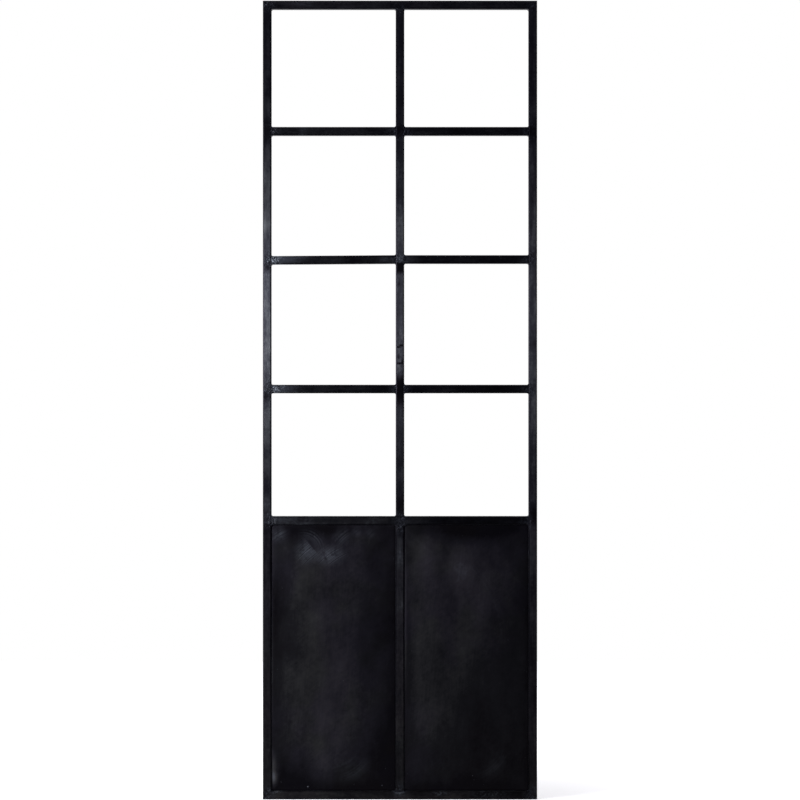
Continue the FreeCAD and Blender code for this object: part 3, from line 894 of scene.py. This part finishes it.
        roll = sheet.vertex_groups.new(name="roll")
        free = sheet.vertex_groups.new(name="free")
        buckle = sheet.vertex_groups.new(name="buckle")
        for vertex in sheet.data.vertices:
            x, z = vertex.co.x, vertex.co.z
            edge = max(0.0, min(x - low.x, high.x - x, z - low.z, high.z - z))
            share = min(1.0, edge / self.CROWN_REACH)
            free.add([vertex.index], share * share * (3 - 2 * share), "REPLACE")
            roll.add([vertex.index], 1 - math.exp(-edge / self.ROLL_REACH), "REPLACE")
            across = (x - self.PUCKER.x) / self.PUCKER_WIDTH
            upward = (z - self.PUCKER.z) / self.PUCKER_HEIGHT
            away = across**2 + upward**2
            if name == "left_panel" and away < self.PUCKER_END:
                free_of_seam = 1 - math.exp(-edge / self.PUCKER_HELD)
                buckle.add([vertex.index], math.exp(-away) * free_of_seam, "REPLACE")
        moves = {"roll": sizes.roll, "free": sizes.crown, "buckle": sizes.buckle}
        for group, forward in moves.items():
            settings = {"strength": -forward, "mid_level": 0.0, "direction": "Y"}
            apply_modifier(sheet, "DISPLACE", vertex_group=group, **settings)
        waves = bpy.data.textures.new(f"{name}_waves", "CLOUDS")
        waves.noise_scale = self.WAVE_LENGTH
        waves.noise_depth = 1
        apply_modifier(
            sheet,
            "DISPLACE",
            texture=waves,
            texture_coords="LOCAL",
            strength=2 * sizes.waviness,
            direction="Y",
            vertex_group="free",
        )
        apply_modifier(sheet, "SOLIDIFY", thickness=thickness, offset=0.0)
        sheet.vertex_groups.clear()
        take(sheet)
        bpy.ops.object.shade_smooth_by_angle(angle=math.radians(30))
        return sheet


class PARTITION_OT_welds(Operator):
    """Models the beads and seams with the pits and ripples of hand welding"""

    bl_idname = "partition.welds"
    bl_label = "Make the Welds"

    # The cells of the remeshed welds, the size of their ripples, and how close two points merge
    SEAM_CELL = 0.0008
    BEAD_CELL = 0.0007
    RIPPLE_SIZE = 0.0035
    SAME_POINT = 0.00002

    def execute(self, context):
        sizes = context.scene.partition_sizes
        material = weld_metal(context.scene.partition_colours)
        ripples = bpy.data.textures.new("weld_ripples", "CLOUDS")
        ripples.noise_scale = self.RIPPLE_SIZE
        ripples.noise_depth = 2
        for name in SEAMS + BEADS:
            cell = self.SEAM_CELL if name in SEAMS else self.BEAD_CELL
            weld = self.copy_merged(name)
            apply_modifier(weld, "REMESH", mode="VOXEL", voxel_size=cell, use_smooth_shade=True)
            # Only ever inwards, because the dressed welds lie flush with the tubes
            apply_modifier(
                weld,
                "DISPLACE",
                texture=ripples,
                texture_coords="LOCAL",
                mid_level=1.0,
                strength=sizes.bead_roughness,
            )
            dress(weld, material)
            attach(weld, BODY)
            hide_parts(name)
        return {"FINISHED"}

    def copy_merged(self, name):
        """A copy of a weld node, with its doubles merged and its normals outward."""
        weld = bpy.data.objects.new(f"{name}_bead", NODES[name].data.copy())
        bpy.context.scene.collection.objects.link(weld)
        take(weld)
        bpy.ops.object.mode_set(mode="EDIT")
        bpy.ops.mesh.select_all(action="SELECT")
        bpy.ops.mesh.remove_doubles(threshold=self.SAME_POINT)
        bpy.ops.mesh.normals_make_consistent(inside=False)
        bpy.ops.object.mode_set(mode="OBJECT")
        return weld


class PARTITION_OT_spatter(Operator):
    """Scatters the droplets of weld spatter that stuck to the front of the sheets"""

    bl_idname = "partition.spatter"
    bl_label = "Scatter the Spatter"

    # The droplets that catch the light, and their radii in mm
    SEEN = {
        "left_panel": [((307.8, 787), 2.9), ((382, 785.5), 2.0), ((343.4, 680.6), 1.1), ((281, 782), 1.2)],
        "right_panel": [((472.6, 775.8), 1.5), ((443, 580), 1.0), ((508, 640), 1.1), ((474, 780), 0.9)],
    }

    # The others on each sheet: how many, their radii, how far from a seam they start and how much
    # further they go, and the share of them along the upper and lower seam
    MORE = 26
    RADII = (0.0004, 0.0008)
    START = 0.004
    SPREAD = 0.03
    LEVEL_SHARE = 0.4

    # How flat they are, and where in front of the sheet the search for it starts
    FLATNESS = 0.6
    IN_FRONT = -0.05
    SEED = 7

    def execute(self, context):
        # Nobody dressed the droplets, so they keep the part's own plain weld metal
        material = bpy.data.materials["weld_metal"]
        dice = random.Random(self.SEED)
        for name in SHEETS:
            sheet = bpy.data.objects[f"{name}_sheet"]
            low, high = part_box(name)
            places = [(Vector(spot_in(*px)), radius / 1000) for px, radius in self.SEEN[name]]
            for _ in range(self.MORE):
                off = self.START + self.SPREAD * dice.random() ** 2
                x = dice.choice((low.x + off, high.x - off))
                z = dice.uniform(low.z + self.START, high.z - self.START)
                if dice.random() < self.LEVEL_SHARE:
                    x = dice.uniform(low.x + self.START, high.x - self.START)
                    z = dice.choice((low.z + off, high.z - off))
                places.append((Vector((x, 0, z)), dice.uniform(*self.RADII)))
            droplets = [self.drop(sheet, place, radius) for place, radius in places]
            take(droplets[0])
            for droplet in droplets:
                droplet.select_set(True)
            bpy.ops.object.join()
            spatter = bpy.context.object
            spatter.name = f"{name}_spatter"
            dress(spatter, material)
            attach(spatter, BODY)
        return {"FINISHED"}

    def drop(self, sheet, place, radius):
        """A flattened droplet, half sunk in the front of the sheet."""
        start = Vector((place.x, self.IN_FRONT, place.z))
        found, at, normal, _ = sheet.ray_cast(start, Vector((0, 1, 0)))
        if not found:
            raise RuntimeError(f"no sheet under the droplet at {tuple(place)}")
        start_clean()
        turn = normal.to_track_quat("Z", "Y").to_euler()
        bpy.ops.mesh.primitive_ico_sphere_add(subdivisions=2, radius=radius, location=at, rotation=turn)
        droplet = bpy.context.object
        droplet.scale = (1, 1, self.FLATNESS)
        settle(droplet)
        bpy.ops.object.shade_smooth()
        return droplet


class PARTITION_OT_studio(Operator):
    """Sets up the floor, the light and the camera"""

    bl_idname = "partition.studio"
    bl_label = "Set Up the Studio"

    FLOOR_MIDDLE = (0, 1.6, 0)
    FLOOR_SIZE = (6, 5.2, 1)

    # Where each lamp stands, its width and height, and its power in watts
    LAMPS = {
        "key": ((-1.52, -1.04, 1.46), (1.1, 0.58), 48),
        "top": ((0.2, 0.4, 4.6), (2.4, 2.4), 60),
        "back": ((1.5, 1.6, 1.5), (1.1, 0.7), 16),
    }

    # The dim room around the object is a little violet
    ROOM_COLOUR = (0.94, 0.9, 1.13, 1)

    def execute(self, context):
        self.lay_floor()
        self.light_world(context.scene)
        for name, settings in self.LAMPS.items():
            self.add_lamp(name, *settings)
        self.add_camera(context.scene)
        context.scene.view_settings.view_transform = "Standard"
        return {"FINISHED"}

    def lay_floor(self):
        """White paper: its matt part keeps the shadow, and its lift is for the camera.

        Reflections show the lift too, but only behind the partition, like the backdrop. In front
        of it they show dim paper, because the studio was dark there.
        """
        start_clean()
        cells = {"x_subdivisions": 2, "y_subdivisions": 2}
        bpy.ops.mesh.primitive_grid_add(size=1, location=self.FLOOR_MIDDLE, **cells)
        floor = bpy.context.object
        floor.name = "floor"
        floor.scale = self.FLOOR_SIZE
        settle(floor)
        material = bpy.data.materials.new("white_paper")
        material.use_nodes = True
        tree = material.node_tree
        tree.nodes.clear()
        rays = add(tree, "LightPath")
        place = add(tree, "TexCoord").outputs["Object"]
        split = add(tree, "SeparateXYZ", {0: place})
        behind = add(tree, "MapRange", {"Value": split.outputs["Y"], "From Max": 0.3})
        seen = seen_white(tree, rays, behind)
        # The lift grows where the lamps' light on the paper falls off, away from the object
        away = add(tree, "VectorMath", {0: place}, operation="LENGTH").outputs["Value"]
        inputs = {"Value": away, "From Min": 0.5, "From Max": 1.6, "To Min": 0.46, "To Max": 0.85}
        white = add(tree, "MapRange", inputs)
        lift = add(tree, "Math", {0: seen, 1: white}, operation="MULTIPLY")
        glow = add(tree, "Emission", {"Strength": lift})
        front = add(tree, "Math", {0: 1.0, 1: behind}, operation="SUBTRACT")
        dim = add(tree, "Math", {0: rays.outputs["Is Glossy Ray"], 1: front}, operation="MULTIPLY")
        pale = add(tree, "MapRange", {"Value": dim, "To Min": 0.82, "To Max": 0.45})
        paper = add(tree, "BsdfDiffuse", {"Color": pale})
        both = add(tree, "AddShader", {0: paper, 1: glow})
        add(tree, "OutputMaterial", {"Surface": both})
        dress(floor, material)

    def light_world(self, scene):
        """White where the camera looks, and behind the object in reflections; dim elsewhere."""
        world = bpy.data.worlds.new("studio")
        world.use_nodes = True
        scene.world = world
        tree = world.node_tree
        tree.nodes.clear()
        rays = add(tree, "LightPath")
        place = add(tree, "TexCoord").outputs["Generated"]
        split = add(tree, "SeparateXYZ", {0: place})
        backdrop = add(tree, "MapRange", {"Value": split.outputs["Y"], "From Min": 0.75, "From Max": 0.9})
        white_part = seen_white(tree, rays, backdrop)
        # The room is pale on the left, where the key light stands, darkest just right of the
        # middle and a little paler again on the far right
        across = split.outputs["X"]
        inputs = {"Value": across, "From Min": -0.9, "From Max": 0.15, "To Min": 0.6, "To Max": 0.05}
        level = add(tree, "MapRange", inputs, interpolation_type="SMOOTHSTEP")
        right = add(tree, "MapRange", {"Value": across, "From Min": 0.15, "To Max": 0.12})
        level = add(tree, "Math", {0: level, 1: right}, operation="ADD")
        room = add(tree, "Background", {"Color": self.ROOM_COLOUR, "Strength": level})
        white = add(tree, "Background", {"Color": (1, 1, 1, 1), "Strength": 1.0})
        mix = add(tree, "MixShader", {0: white_part, 1: room, 2: white})
        add(tree, "OutputWorld", {"Surface": mix})

    def add_lamp(self, name, place, size, power):
        """A soft lamp that faces the middle of the object."""
        lamp = bpy.data.lights.new(name, "AREA")
        lamp.shape = "RECTANGLE"
        lamp.size, lamp.size_y = size
        lamp.energy = power
        holder = bpy.data.objects.new(name, lamp)
        holder.location = place
        holder.rotation_euler = (CAD_MIDDLE - Vector(place)).to_track_quat("-Z", "Y").to_euler()
        bpy.context.scene.collection.objects.link(holder)

    def add_camera(self, scene):
        """Head on, level with the middle, with the frame filling the picture's height."""
        distance = scene.partition_sizes.camera_distance
        picture_height = (CAD_HIGH.z - CAD_LOW.z) * PHOTO_SIDE_PX / FRAME_HEIGHT_PX
        data = bpy.data.cameras.new("photo_camera")
        data.lens = data.sensor_width * distance / picture_height
        holder = bpy.data.objects.new("photo_camera", data)
        holder.location = (CAD_MIDDLE.x, CAD_LOW.y - distance, CAD_MIDDLE.z)
        holder.rotation_euler = (math.pi / 2, 0, 0)
        scene.collection.objects.link(holder)
        scene.camera = holder


class PARTITION_PT_sidebar(Panel):
    bl_label = "Iron Partition Wall"
    bl_space_type = "VIEW_3D"
    bl_region_type = "UI"
    bl_category = "Partition"

    def draw(self, context):
        for group in (context.scene.partition_sizes, context.scene.partition_colours):
            for name in group.__annotations__:
                self.layout.prop(group, name)
        for operator in OPERATORS:
            self.layout.operator(operator.bl_idname)


GROUPS = (PartitionSizes, PartitionColours)
OPERATORS = (
    PARTITION_OT_studio,
    PARTITION_OT_tubes,
    PARTITION_OT_sheets,
    PARTITION_OT_welds,
    PARTITION_OT_spatter,
)


def register():
    for cls in (*GROUPS, *OPERATORS, PARTITION_PT_sidebar):
        bpy.utils.register_class(cls)
    bpy.types.Scene.partition_sizes = PointerProperty(type=PartitionSizes)
    bpy.types.Scene.partition_colours = PointerProperty(type=PartitionColours)


def unregister():
    del bpy.types.Scene.partition_colours
    del bpy.types.Scene.partition_sizes
    for cls in reversed((*GROUPS, *OPERATORS, PARTITION_PT_sidebar)):
        bpy.utils.unregister_class(cls)


def main():
    register()
    bpy.ops.partition.studio()
    bpy.ops.partition.tubes()
    bpy.ops.partition.sheets()
    bpy.ops.partition.welds()
    bpy.ops.partition.spatter()


if __name__ == "__main__":
    main()
